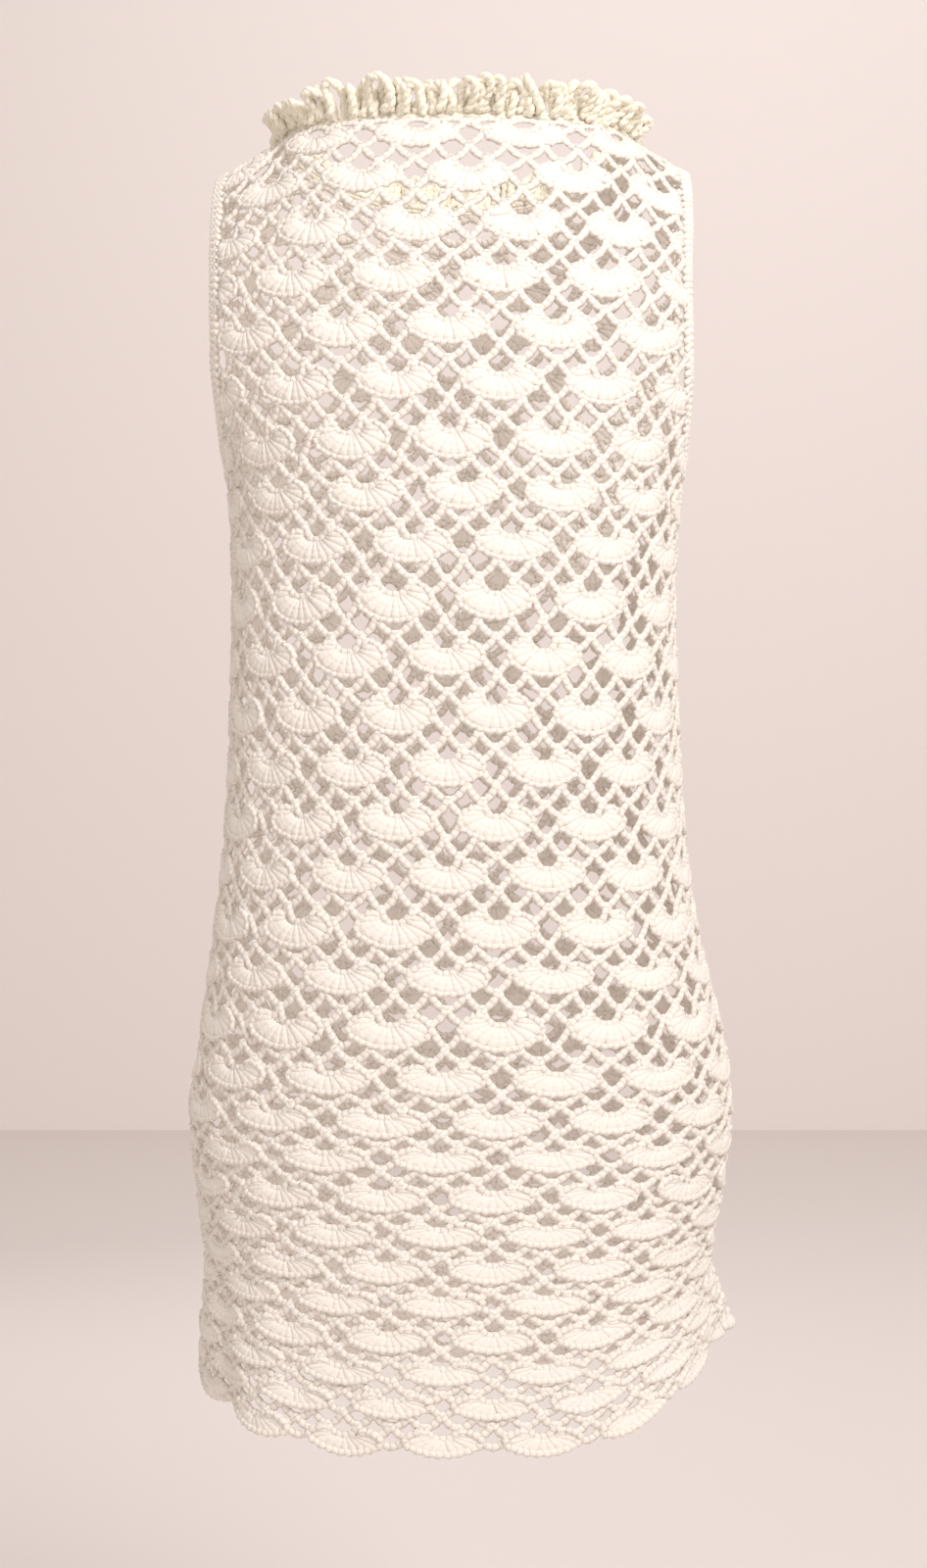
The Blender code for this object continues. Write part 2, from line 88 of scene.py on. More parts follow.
SECTIONS = tuple(
    Section(*row)
    for row in (
        (0.060, 0.172, 0.168, 0.080, 0.078),
        (-0.030, 0.179, 0.171, 0.099, 0.094),
        (-0.100, 0.179, 0.169, 0.115, 0.108),
        (-0.160, 0.176, 0.168, 0.121, 0.121),
        (-0.2265, 0.157, 0.153, 0.123, 0.131),
        (-0.306, 0.152, 0.1465, 0.123, 0.128),
        (-0.374, 0.153, 0.148, 0.123, 0.122),
        (-0.442, 0.155, 0.151, 0.123, 0.119),
        (-0.494, 0.1585, 0.155, 0.125, 0.119),
        (-0.560, 0.1665, 0.166, 0.128, 0.121),
        (-0.612, 0.1735, 0.179, 0.131, 0.124),
        (-0.668, 0.181, 0.185, 0.132, 0.127),
        (-0.715, 0.176, 0.1795, 0.132, 0.130),
        (-0.776, 0.1695, 0.170, 0.131, 0.133),
        (-0.825, 0.172, 0.172, 0.130, 0.136),
        (-0.880, 0.170, 0.173, 0.129, 0.138),
    )
)

FOLDS = tuple(
    Fold(*row)
    for row in (
        (104.0, 15.0, 0.0240, -0.745),
        (80.0, 8.0, -0.0060, -0.760),
        (48.0, 10.0, 0.0035, -0.780),
        (14.0, 9.0, -0.0035, -0.790),
        (-24.0, 9.0, -0.0030, -0.800),
        (-44.0, 9.0, 0.0045, -0.720),
        (-62.0, 8.0, -0.0060, -0.700),
        (-98.0, 14.0, 0.0050, -0.760),
        (-138.0, 11.0, -0.0050, -0.740),
        (-160.0, 12.0, 0.0045, -0.770),
        (152.0, 10.0, -0.0050, -0.750),
        (176.0, 11.0, -0.0035, -0.780),
    )
)

SHELL_ROWS = tuple(
    ShellRow(*row)
    for row in (
        (-0.006, -0.027, 0.0714), (-0.034, 0.007, 0.0704), (-0.068, -0.027, 0.0693),
        (-0.103, 0.028, 0.0694), (-0.137, -0.006, 0.0697), (-0.172, 0.028, 0.0677),
        (-0.208, -0.003, 0.0658), (-0.245, 0.004, 0.0640), (-0.277, -0.029, 0.0652),
        (-0.312, 0.024, 0.0642), (-0.351, -0.007, 0.0633), (-0.386, 0.024, 0.0623),
        (-0.423, -0.006, 0.0620), (-0.457, 0.025, 0.0640), (-0.492, -0.006, 0.0642),
        (-0.525, 0.026, 0.0665), (-0.560, -0.006, 0.0680), (-0.590, 0.028, 0.0715),
        (-0.625, -0.010, 0.0740), (-0.652, 0.026, 0.0745), (-0.677, -0.012, 0.0735),
        (-0.700, 0.022, 0.0703), (-0.725, -0.011, 0.0685), (-0.747, 0.021, 0.0675),
        (-0.770, -0.010, 0.0680), (-0.791, 0.023, 0.0670), (-0.815, -0.009, 0.0660),
        (-0.835, 0.022, 0.0640), (-0.857, -0.009, 0.0640),
    )
)


class FanBend(NamedTuple):
    """A shell's reach from its middle at one angle from straight down: degrees, metres."""

    angle: float
    inner: float
    outer: float


FAN = tuple(
    FanBend(*row)
    for row in (
        (0.0, 0.0052, 0.0205),
        (35.0, 0.0058, 0.0212),
        (64.0, 0.0070, 0.0235),
        (80.0, 0.0076, 0.0212),
        (94.0, 0.0080, 0.0165),
        (104.0, 0.0082, 0.0135),
    )
)


@dataclass
class DressForm:
    """The inside surface of the dress, the same one that the solids have."""

    power: float = 2.3
    steps: int = 48
    neck_half_width: float = 0.119
    neck_rise: float = 0.050
    front_scoop: float = 0.030
    shoulder_slope: float = 0.57
    shoulder_round: float = 0.140
    neck_fade: float = 0.140
    underarm_z: float = -0.2265
    armhole_full_z: float = -0.150
    armhole_depth: float = 0.062
    shoulder_ratio: float = 0.892
    hem_z: float = -0.876
    hem_rise_left: float = 0.022
    hem_rise_right: float = 0.052
    hem_rise_start: float = 22.0
    hem_rise_z: float = -0.720
    seam_gap: float = 0.0003
    seam_fade: float = 0.020
    heights: np.ndarray = field(init=False)

    def __post_init__(self) -> None:
        """Turns the table of sections upside down, for interpolation."""
        self.heights = np.array([s.z for s in SECTIONS])[::-1]

    def size_at(self, name: str, z: float) -> float:
        """A section's size at a height, eased between the rows.

        Args:
            name: The section's column.
            z: The height.

        Returns:
            The size in metres.
        """
        sizes = np.array([getattr(s, name) for s in SECTIONS])[::-1]
        heights = self.heights
        slopes = np.gradient(sizes, heights)
        z = float(np.clip(z, heights[0], heights[-1]))
        i = int(np.clip(np.searchsorted(heights, z) - 1, 0, len(heights) - 2))
        step = heights[i + 1] - heights[i]
        t = (z - heights[i]) / step
        return float(
            sizes[i] * (1 + 2 * t) * (1 - t) ** 2
            + slopes[i] * step * t * (1 - t) ** 2
            + sizes[i + 1] * t**2 * (3 - 2 * t)
            + slopes[i + 1] * step * t**2 * (t - 1)
        )

    def top_edge(self, side: Side, x: np.ndarray) -> np.ndarray:
        """The height of the neckline and the shoulder seam at each distance x."""
        x = np.abs(x)
        inside = np.minimum(x, self.neck_half_width) / self.neck_half_width
        scoop = self.front_scoop * (1 - inside**2) ** 0.75 if side is Side.FRONT else 0.0
        return -scoop - self.shoulder_slope * np.maximum(x - self.neck_half_width, 0)

    def shoulder_line(self, x: np.ndarray) -> np.ndarray:
        """The height of the shoulders at each distance x, over the neck too."""
        x = np.abs(x)
        over = 1 - (np.minimum(x, self.neck_half_width) / self.neck_half_width) ** 3
        drop = self.shoulder_slope * np.maximum(x - self.neck_half_width, 0)
        return self.neck_rise * over - drop

    def fold_out(self, angle: np.ndarray, z: np.ndarray) -> np.ndarray:
        """How far the folds bring the cloth out at each angle and height."""
        out = np.zeros_like(angle)
        for fold in FOLDS:
            away = (angle - fold.angle + 180.0) % 360.0 - 180.0
            grown = np.clip((fold.from_z - z) / (fold.from_z - self.hem_z), 0.0, 1.0)
            out = out + fold.out * grown**1.5 * np.exp(-((away / fold.spread) ** 2))
        return out

    def hem_rise(self, across: np.ndarray, level: float) -> np.ndarray:
        """How far a row near the hem rises towards the side seams."""
        grown = max(0.0, (self.hem_rise_z - level) / (self.hem_rise_z - self.hem_z)) ** 1.5
        degrees = np.abs(across) * 90.0
        share = np.clip((degrees - self.hem_rise_start) / (90.0 - self.hem_rise_start), 0.0, 1.0)
        most = np.where(across < 0, self.hem_rise_left, self.hem_rise_right)
        return most * grown * np.sin(share * math.pi / 2) ** 1.3

    def row_line(self, side: Side, level: float) -> tuple[np.ndarray, np.ndarray]:
        """A line across a panel at one level.

        Args:
            side: The panel.
            level: The line's height well below the neck.

        Returns:
            The distance along it from the middle plane, and its points.
        """
        across = np.linspace(-1.0, 1.0, 2 * self.steps + 1)
        turn = np.abs(across) * math.pi / 2
        fade = max(0.0, 1.0 + level / self.neck_fade) ** 2
        left, right = self.size_at("left", level), self.size_at("right", level)
        half = np.where(across < 0, left, right)
        x = np.sign(across) * half * np.sin(turn) ** (2 / self.power)
        z = level + self.top_edge(side, x) * fade
        drop = np.clip((self.shoulder_line(x) - z) / self.shoulder_round, 0.0, 1.0)
        depth = self.size_at(side.name.lower(), level) * np.sqrt(1 - (1 - drop) ** 2)
        y = depth * np.abs(np.cos(turn)) ** (2 / self.power)
        angle = np.degrees(turn) * np.sign(across)
        if side is Side.FRONT:
            angle = np.where(across < 0, -180.0, 180.0) - angle
        out = self.fold_out(angle, z)
        lean_x, lean_y = x / half**2, y / max(depth.max(), 1e-6) ** 2
        lean = np.hypot(lean_x, lean_y)
        x = x + out * lean_x / lean
        fold_y = out * lean_y / lean * np.minimum(y / self.seam_fade, 1.0)
        y = side.value * (y + fold_y + self.seam_gap / 2)
        z = z + self.hem_rise(across, level)
        points = np.stack([x, y, z], axis=1)
        steps = np.linalg.norm(np.diff(points, axis=0), axis=1)
        along = np.concatenate([[0.0], np.cumsum(steps)])
        return along - along[self.steps], points

    def edge_turn(self, side: Side, level: float) -> float:
        """How far round its section a panel reaches, 1 at a side seam."""
        ratio = self.shoulder_ratio
        if level <= self.underarm_z:
            return 1.0
        if level < self.armhole_full_z:
            span = self.armhole_full_z - self.underarm_z
            rise = (self.armhole_full_z - level) / span
            reach = self.armhole_depth * math.sqrt(max(0.0, 1 - rise**2))
            depth = self.size_at(side.name.lower(), level)
            ratio = (1 - (reach / depth) ** self.power) ** (1 / self.power)
        return math.asin(min(1.0, ratio ** (self.power / 2))) / (math.pi / 2)


class Cloth:
    """One panel's surface, sampled so that many points can be put on it at once."""

    LEVEL_STEP = 0.002
    PLACE_STEP = 0.003
    REACH = 0.300
    BELOW_HEM = 0.012

    def __init__(self, form: DressForm, side: Side) -> None:
        """Samples the panel.

        Args:
            form: The dress's surface.
            side: The panel.
        """
        self.form, self.side = form, side
        self.levels = np.arange(form.hem_z - self.BELOW_HEM, 0.0001, self.LEVEL_STEP)
        self.places = np.arange(-self.REACH, self.REACH + 0.0001, self.PLACE_STEP)
        across = np.linspace(-1.0, 1.0, 2 * form.steps + 1)
        lines = [form.row_line(side, level) for level in self.levels]
        points = np.array([line[1] for line in lines])
        normals = np.cross(np.gradient(points, axis=1), np.gradient(points, axis=0))
        normals *= -side.value
        normals /= np.linalg.norm(normals, axis=2)[:, :, None]
        shape = (len(self.levels), len(self.places), 3)
        self.points, self.normals = np.zeros(shape), np.zeros(shape)
        edges = []
        for i, (along, _) in enumerate(lines):
            turn = form.edge_turn(side, self.levels[i])
            edges.append(np.interp((-turn, turn), across, along))
            for k in range(3):
                self.points[i, :, k] = np.interp(self.places, along, points[i, :, k])
                self.normals[i, :, k] = np.interp(self.places, along, normals[i, :, k])
        self.edges = np.array(edges)

    def _blend(self, grid: np.ndarray, along: np.ndarray, level: np.ndarray) -> np.ndarray:
        """Reads a sampled grid between its places."""
        i = np.clip((level - self.levels[0]) / self.LEVEL_STEP, 0, len(self.levels) - 1.001)
        j = np.clip((along - self.places[0]) / self.PLACE_STEP, 0, len(self.places) - 1.001)
        a, b = i.astype(int), j.astype(int)
        u, v = (i - a)[..., None], (j - b)[..., None]
        low = grid[a, b] * (1 - v) + grid[a, b + 1] * v
        high = grid[a + 1, b] * (1 - v) + grid[a + 1, b + 1] * v
        return low * (1 - u) + high * u

    def at(self, flat: np.ndarray) -> tuple[np.ndarray, np.ndarray]:
        """Puts flat points on the cloth.

        Args:
            flat: Distance along the row, level and lift of each point.

        Returns:
            The points and the directions out of the cloth there.
        """
        out = self._blend(self.normals, flat[..., 0], flat[..., 1])
        out /= np.linalg.norm(out, axis=-1)[..., None]
        return self._blend(self.points, flat[..., 0], flat[..., 1]) + out * flat[..., 2:3], out

    def edge_at(self, level: np.ndarray) -> tuple[np.ndarray, np.ndarray]:
        """The distance to the panel's left and right edge at each level."""
        left = np.interp(level, self.levels, self.edges[:, 0])
        return left, np.interp(level, self.levels, self.edges[:, 1])


def curved(points: np.ndarray, count: int) -> np.ndarray:
    """A smooth curve through points, at even steps of its parameter.

    Args:
        points: The points that it passes.
        count: How many points come back.

    Returns:
        The curve's points.
    """
    ends = np.concatenate([2 * points[:1] - points[1:2], points, 2 * points[-1:] - points[-2:-1]])
    at = np.linspace(0, len(points) - 1, count)
    i = np.minimum(at.astype(int), len(points) - 2)
    t = (at - i)[:, None]
    a, b, c, d = ends[i], ends[i + 1], ends[i + 2], ends[i + 3]
    return 0.5 * (
        2 * b + (c - a) * t + (2 * a - 5 * b + 4 * c - d) * t**2 + (3 * b - a - 3 * c + d) * t**3
    )


class YarnMesh:
    """Gathers strands of yarn, each a closed tube of oval section, into one mesh."""

    def __init__(self, sides: int) -> None:
        """Starts with no strands.

        Args:
            sides: The corners of a strand's section.
        """
        self.sides = sides
        self.vertices: list[np.ndarray] = []
        self.faces: list[np.ndarray] = []
        self.caps: list[np.ndarray] = []
        self.uvs: list[np.ndarray] = []
        self.slots: list[np.ndarray] = []
        self.cap_slots: list[int] = []
        self.total = 0

    def strands(
        self,
        points: np.ndarray,
        normals: np.ndarray,
        wide: np.ndarray,
        high: np.ndarray,
        slot: int = 0,
        closed: bool = False,
    ) -> None:
        """Adds several strands that have the same number of points.

        Args:
            points: The middle of each strand, as strand, point, axis.
            normals: The way out of the cloth at each point.
            wide: Half the width at each point.
            high: Half the thickness at each point.
            slot: The material slot.
            closed: Whether each strand is a ring.
        """
        many, count, _ = points.shape
        if closed:
            ahead = np.roll(points, -1, axis=1) - np.roll(points, 1, axis=1)
        else:
            ahead = np.gradient(points, axis=1)
        ahead /= np.maximum(np.linalg.norm(ahead, axis=2), 1e-9)[:, :, None]
        beside = np.cross(ahead, normals)
        beside /= np.maximum(np.linalg.norm(beside, axis=2), 1e-9)[:, :, None]
        out = np.cross(beside, ahead)
        turn = np.arange(self.sides) / self.sides * 2 * math.pi
        cos, sin = np.cos(turn)[None, None, :, None], np.sin(turn)[None, None, :, None]
        ring = (
            points[:, :, None]
            + beside[:, :, None] * wide[:, :, None, None] * cos
            + out[:, :, None] * high[:, :, None, None] * sin
        )
        number = self.total + np.arange(many * count * self.sides).reshape(many, count, self.sides)
        after = np.roll(number, -1, axis=2)
        far, far_after = np.roll(number, -1, axis=1), np.roll(after, -1, axis=1)
        if not closed:
            self.caps += list(number[:, 0]) + list(number[:, -1, ::-1])
            self.cap_slots += [slot] * (2 * many)
            number, after, far, far_after = (ids[:, :-1] for ids in (number, after, far, far_after))
        faces = np.stack([number, far, far_after, after], axis=-1).reshape(-1, 4)
        steps = np.linalg.norm(np.diff(points, axis=1, append=points[:, :1]), axis=2)
        length = np.concatenate([np.zeros((many, 1)), np.cumsum(steps, axis=1)], axis=1)
        near_end, far_end = length[:, : number.shape[1]], length[:, 1 : number.shape[1] + 1]
        round_a = np.arange(self.sides) / self.sides
        round_b = round_a + 1 / self.sides
        u = np.stack([near_end, far_end, far_end, near_end], -1)[:, :, None]
        v = np.stack([round_a, round_a, round_b, round_b], -1)[None, None]
        u, v = (np.broadcast_to(part, (*number.shape, 4)) for part in (u, v))
        self.vertices.append(ring.reshape(-1, 3))
        self.faces.append(faces)
        self.uvs.append(np.stack([u, v], -1).reshape(-1, 2))
        self.slots.append(np.full(len(faces), slot))
        self.total += many * count * self.sides

    def triangles(self) -> int:
        """How many triangles the strands have so far."""
        return 2 * sum(map(len, self.faces)) + len(self.caps) * (self.sides - 2)

    def to_object(self, name: str, finishes: list[bpy.types.Material]) -> bpy.types.Object:
        """Makes the object and marks it as part of the dress.

        Args:
            name: The piece's name.
            finishes: A material for each slot.

        Returns:
            The new object.
        """
        quads = np.concatenate(self.faces)
        caps = np.array(self.caps).reshape(-1, self.sides)
        mesh = bpy.data.meshes.new(name)
        vertices = np.concatenate(self.vertices)
        mesh.vertices.add(len(vertices))
        mesh.vertices.foreach_set("co", vertices.astype(np.float32).ravel())
        mesh.loops.add(quads.size + caps.size)
        loops = np.concatenate([quads.ravel(), caps.ravel()])
        mesh.loops.foreach_set("vertex_index", loops.astype(np.int32))
        mesh.polygons.add(len(quads) + len(caps))
        starts = np.concatenate(
            [np.arange(len(quads)) * 4, quads.size + np.arange(len(caps)) * self.sides]
        )
        mesh.polygons.foreach_set("loop_start", starts.astype(np.int32))
        slots = np.concatenate([*self.slots, np.array(self.cap_slots, int)])
        mesh.polygons.foreach_set("material_index", slots.astype(np.int32))
        layer = mesh.uv_layers.new(name="strand")
        uvs = np.concatenate([*self.uvs, np.full((caps.size, 2), 0.25)])
        layer.data.foreach_set("uv", uvs.astype(np.float32).ravel())
        mesh.update(calc_edges=True)
        mesh.shade_smooth()
        made = bpy.data.objects.new(name, mesh)
        bpy.context.scene.collection.objects.link(made)
        for finish in finishes:
            mesh.materials.append(finish)
        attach(made, ROOT)
        LOG.info("%s: %d triangles", name, self.triangles())
        return made


# ---------------------------------------------------------------- finishes


class Socket:
    """A shader socket that takes Python's operators."""

    def __init__(self, shader: "Shader", link: bpy.types.NodeSocket) -> None:
        """Wraps an output socket of a shader's tree."""
        self.shader, self.link = shader, link

    def _math(self, kind: str, *values: "Socket | float") -> "Socket":
        """Adds one Math node."""
        inputs = dict(enumerate(values))
        return self.shader.node("ShaderNodeMath", {"operation": kind}, inputs)

    def __add__(self, other: "Socket | float") -> "Socket":
        """Adds."""
        return self._math("ADD", self, other)

    def __mul__(self, other: "Socket | float") -> "Socket":
        """Multiplies."""
        return self._math("MULTIPLY", self, other)

    def __sub__(self, other: "Socket | float") -> "Socket":
        """Subtracts."""
        return self._math("SUBTRACT", self, other)

    def __rsub__(self, other: float) -> "Socket":
        """Subtracts this from a number."""
        return self._math("SUBTRACT", other, self)

    def __pow__(self, other: float) -> "Socket":
        """Raises to a power."""
        return self._math("POWER", self, other)

    def __abs__(self) -> "Socket":
        """The absolute value."""
        return self._math("ABSOLUTE", self)

    __radd__ = __add__
    __rmul__ = __mul__

    def sine(self) -> "Socket":
        """The sine."""
        return self._math("SINE", self)


class Shader:
    """A material's node tree, with one way to add any node."""

    def __init__(self, name: str) -> None:
        """Starts a material with only its output."""
        self.material = bpy.data.materials.new(name)
        self.material.use_nodes = True
        self.tree = self.material.node_tree
        self.tree.nodes.clear()

    def node(
        self,
        kind: str,
        settings: dict | None = None,
        inputs: dict | None = None,
        output: int = 0,
    ) -> Socket:
        """Adds a node.

        Args:
            kind: The node's type.
            settings: Its settings, set before its sockets.
            inputs: Values or sockets for its inputs, by name or number.
            output: Which output comes back.

        Returns:
            The output socket.
        """
        made = self.tree.nodes.new(kind)
        for name, value in (settings or {}).items():
            if name == "stops":
                for stop, (place, colour) in zip(made.color_ramp.elements, value):
                    stop.position, stop.color = place, colour
            else:
                setattr(made, name, value)
        for name, value in (inputs or {}).items():
            if isinstance(value, Socket):
                self.tree.links.new(value.link, made.inputs[name])
            else:
                made.inputs[name].default_value = value
        return Socket(self, made.outputs[output] if made.outputs else None)


@dataclass(frozen=True)
class YarnFinish:
    """Soft matt yarn: its colour, painted shade in its crevices and the lie of its stitches."""

    name: str
    colour: tuple[float, float, float]
    # The darker colour that paints shade into the hollows of the chain and the fuzz; the random
    # tone also reaches towards it.
    painted_shade_and_tone: tuple[float, float, float]
    stitch: float
    chevron: float
    relief: float
    roughness: float = 0.88
    ply_rate: float = 4200.0
    ply_turn: float = 12.566
    fuzz_scale: float = 1400.0
    patch_scale: float = 60.0
    relief_depth: float = 0.0011

    def build(self) -> bpy.types.Material:
        """Makes the material: a chain or twist relief along the strand, plies and fuzz, with
        painted shade in the relief's hollows and a random tone.
        """
        shader = Shader(self.name)
        uv = shader.node("ShaderNodeUVMap", {"uv_map": "strand"})
        u = shader.node("ShaderNodeSeparateXYZ", {}, {0: uv}, 0)
        v = shader.node("ShaderNodeSeparateXYZ", {}, {0: uv}, 1)
        lean = abs(v * 2.0 - 0.5)
        chain = abs((u * (math.pi / self.stitch) + lean * self.chevron).sine()) ** 0.6
        plies = (u * self.ply_rate + v * self.ply_turn).sine() * 0.5 + 0.5
        place = shader.node("ShaderNodeTexCoord", {}, {}, "Object")
        noise = "ShaderNodeTexNoise"
        fuzz = {"Vector": place, "Scale": self.fuzz_scale, "Detail": 3.0}
        patch = {"Vector": place, "Scale": self.patch_scale, "Detail": 2.0}
        fuzz, patch = shader.node(noise, {}, fuzz), shader.node(noise, {}, patch)
        height = chain * 0.72 + plies * 0.12 + fuzz * 0.16
        bump = shader.node(
            "ShaderNodeBump",
            {},
            {"Height": height, "Strength": self.relief, "Distance": self.relief_depth},
        )
        # Painted shade: the colour goes towards the darker one in the chain's hollows and the
        # fuzz's low spots; the patch term adds a random tone of the yarn.
        shade = (1.0 - chain) * 0.55 + (1.0 - fuzz) * 0.20 + (patch - 0.5) * 0.25
        ramp = shader.node(
            "ShaderNodeValToRGB",
            {"stops": ((0.10, (*self.colour, 1.0)), (0.85, (*self.painted_shade_and_tone, 1.0)))},
            {"Fac": shade},
        )
        surface = shader.node(
            "ShaderNodeBsdfPrincipled",
            {},
            {
                "Base Color": ramp,
                "Roughness": self.roughness,
                "Sheen Weight": 0.25,
                "Sheen Roughness": 0.6,
                "Specular IOR Level": 0.25,
                "Normal": bump,
            },
        )
        shader.node("ShaderNodeOutputMaterial", {}, {"Surface": surface})
        return shader.material


CREAM = (0.96, 0.915, 0.86)
# Each finish's second colour is painted shade for the hollows of its yarn, and the dark end of its
# random tone.
CHAIN_FINISH = YarnFinish(
    "cream_chain", CREAM, painted_shade_and_tone=(0.90, 0.79, 0.69), stitch=0.0046, chevron=1.3, relief=0.75
)
POST_FINISH = YarnFinish(
    "cream_post", CREAM, painted_shade_and_tone=(0.94, 0.87, 0.80), stitch=0.0036, chevron=2.6, relief=0.26
)
TRIM_FINISH = YarnFinish(
    "trim_cord",
    (0.98, 0.94, 0.83),
    painted_shade_and_tone=(0.95, 0.87, 0.67),
    stitch=0.0055,
    chevron=1.2,
    relief=0.60,
)


@dataclass(frozen=True)
class PlainFinish:
    """A plain, matt surface for the floor and the backdrop."""

    name: str
    colour: tuple[float, float, float]

    def build(self) -> bpy.types.Material:
        """Makes the material."""
        shader = Shader(self.name)
        inputs = {"Base Color": (*self.colour, 1.0), "Roughness": 0.95}
        surface = shader.node("ShaderNodeBsdfPrincipled", {}, inputs)
        shader.node("ShaderNodeOutputMaterial", {}, {"Surface": surface})
        return shader.material


# ---------------------------------------------------------------- the lace


class Joint(NamedTuple):
    """A place where a loop is worked into the lace above it."""

    along: float
    level: float


LOOP_SHARES = np.array([-0.04, 0.12, 0.30, 0.5, 0.70, 0.88, 1.04])
LOOP_OVERLAP = 0.0012
KNOT_REACH = np.array([0.0030, 0.0016, -0.0016, -0.0032])
KNOT_SIZE = np.array([0.0015, 0.0028, 0.0027, 0.0013])
FAN_REPEAT, FAN_PITCH = 0.065, 0.037
POST_DOME = np.array([0.0, 0.0007, 0.0008, 0.0003])
POST_HALF_WIDTHS = (0.0011, 0.0042)
POST_THICKNESS = 0.0016
FAN_DEGREES, FAN_INNER, FAN_OUTER = np.array(FAN).T


@dataclass
class ShellLace:
    """The lace of one panel: rows of chain loops, and shells worked into every other loop.

    A repeat of a row has three loops hung from the row above, three more hung from their
    middles, a shell worked into one of these, and a last loop between two shells.
    """

    cloth: Cloth
    finishes: list[bpy.types.Material]
    seed: int = 3
    yarn: tuple[float, float] = (0.0029, 0.0018)
    lift: float = 0.0019
    posts: int = 13
    hang: float = 0.285
    second: float = 0.540
    bowl: float = 0.575
    fan_top: float = 0.470
    row_start: float = 0.395
    hem_clear: float = 0.002
    last_reach: float = 1.03
    edge_joint: float = 0.184
    edge_gap: float = 0.0008
    slack: float = 0.0006
    loop_points: int = 9
    loops: YarnMesh = field(default_factory=lambda: YarnMesh(5))
    shells: YarnMesh = field(default_factory=lambda: YarnMesh(6))
    groups: dict[tuple[str, int, int], list[np.ndarray]] = field(default_factory=dict)
    random: np.random.Generator = field(init=False)
    starts: np.ndarray = field(init=False)
    shell_total: int = 0

    def __post_init__(self) -> None:
        """Works out the level at which each row starts."""
        self.random = np.random.default_rng(self.seed)
        z = np.array([row.z for row in SHELL_ROWS])
        pitch = -np.gradient(z)
        starts = z + self.row_start * pitch
        end = self.cloth.form.hem_z + self.hem_clear
        last = starts[-1] - (starts[-1] - end) / self.last_reach
        self.starts = np.append(starts, last)

    def level(self, row: int, share: float) -> float:
        """The level at a share of a row's height."""
        return float(self.starts[row] + (self.starts[row + 1] - self.starts[row]) * share)

    def jitter(self, size: float) -> float:
        """A small unevenness, the same on each run."""
        return float(self.random.normal(0.0, size))

    def centres(self, row: int) -> list[float]:
        """The middles of a row's shells, past both edges of the panel."""
        shift, repeat = SHELL_ROWS[row].shift, SHELL_ROWS[row].repeat
        return [shift + k * repeat for k in range(-6, 7)]

    def add(
        self, into: str, path: np.ndarray, wide: np.ndarray, high: np.ndarray, slot: int
    ) -> None:
        """Keeps the stretch of a strand that lies on the panel.

        Args:
            into: The mesh that it goes into.
            path: Distance along the row, level and lift of each point.
            wide: Half the width at each point.
            high: Half the thickness at each point.
            slot: The material slot.
        """
        left, right = self.cloth.edge_at(path[:, 1])
        along = path[:, 0]
        inside = (along > left + self.edge_gap) & (along < right - self.edge_gap)
        inside &= path[:, 1] < 0.0
        if not inside.all():
            runs, start = [], None
            for i, kept in enumerate([*inside, False]):
                if kept and start is None:
                    start = i
                elif not kept and start is not None:
                    runs.append((i - start, start))
                    start = None
            if not runs or max(runs)[0] < 2:
                return
            size, start = max(runs)
            keep = slice(start, start + size)
            path, wide, high = path[keep], wide[keep], high[keep]
        key = (into, len(path), slot)
        self.groups.setdefault(key, []).append(np.column_stack([path, wide, high]))

    def finish_groups(self) -> None:
        """Puts all the strands on the cloth."""
        for (into, _, slot), strands in self.groups.items():
            data = np.array(strands)
            points, normals = self.cloth.at(data[..., :3])
            mesh = self.loops if into == "loops" else self.shells
            mesh.strands(points, normals, data[..., 3], data[..., 4], slot)
        self.groups.clear()

    def loop(
        self, a: Joint, b: Joint, low: Joint, top_lift: float = 0.0, bowl: float = 1.75
    ) -> None:
        """A chain loop that hangs from one joint to another.

        Args:
            a: Its left end.
            b: Its right end.
            low: Its lowest point.
            top_lift: How much higher its ends lie over what they are worked into.
            bowl: How flat its bottom is.
        """
        shares = LOOP_SHARES
        sag = 1.0 - np.abs(2 * np.clip(shares, 0, 1) - 1) ** bowl
        side = np.clip(2 * shares, 0, 1) * (low.along - a.along)
        side = side + np.clip(2 * shares - 1, 0, 1) * (b.along - low.along)
        ends = a.level + (b.level - a.level) * shares
        level = ends + (low.level - (a.level + b.level) / 2) * sag
        level[[0, -1]] += LOOP_OVERLAP
        lift = self.lift + top_lift * np.abs(2 * shares - 1) ** 3 + self.jitter(0.0001)
        path = curved(np.column_stack([a.along + side, level, lift]), self.loop_points)
        beat = 1.0 + 0.09 * np.cos(np.arange(len(path)) * math.pi) + self.jitter(0.03)
        self.add("loops", path, self.yarn[0] * beat, self.yarn[1] * beat, 0)

    def knot(self, at: Joint, lift: float) -> None:
        """The single crochet that holds two loops on the one above."""
        path = np.column_stack([np.full(4, at.along), at.level + KNOT_REACH, np.full(4, lift)])
        self.add("loops", path, KNOT_SIZE, KNOT_SIZE * 0.72, 1)

    def shell(self, middle: float, left: Joint, right: Joint, row: int) -> None:
        """A shell: posts fanned out of the base loop, and the chain along their tops.

        Args:
            middle: The distance along the row of its middle.
            left: The joint at its left end.
            right: The joint at its right end.
            row: The row's number.
        """
        wide_scale = SHELL_ROWS[row].repeat / FAN_REPEAT
        high_scale = (self.level(row, 0.0) - self.level(row, 1.0)) / FAN_PITCH
        lower = min(1.0, row / (len(SHELL_ROWS) - 1))
        wide_scale *= 1.14 + 0.05 * lower**2
        top = self.level(row, self.fan_top) + self.jitter(0.0004)
        slope = (right.level - left.level) / max(right.along - left.along, 1e-6)
        high_scale *= 0.96 + self.jitter(0.02)

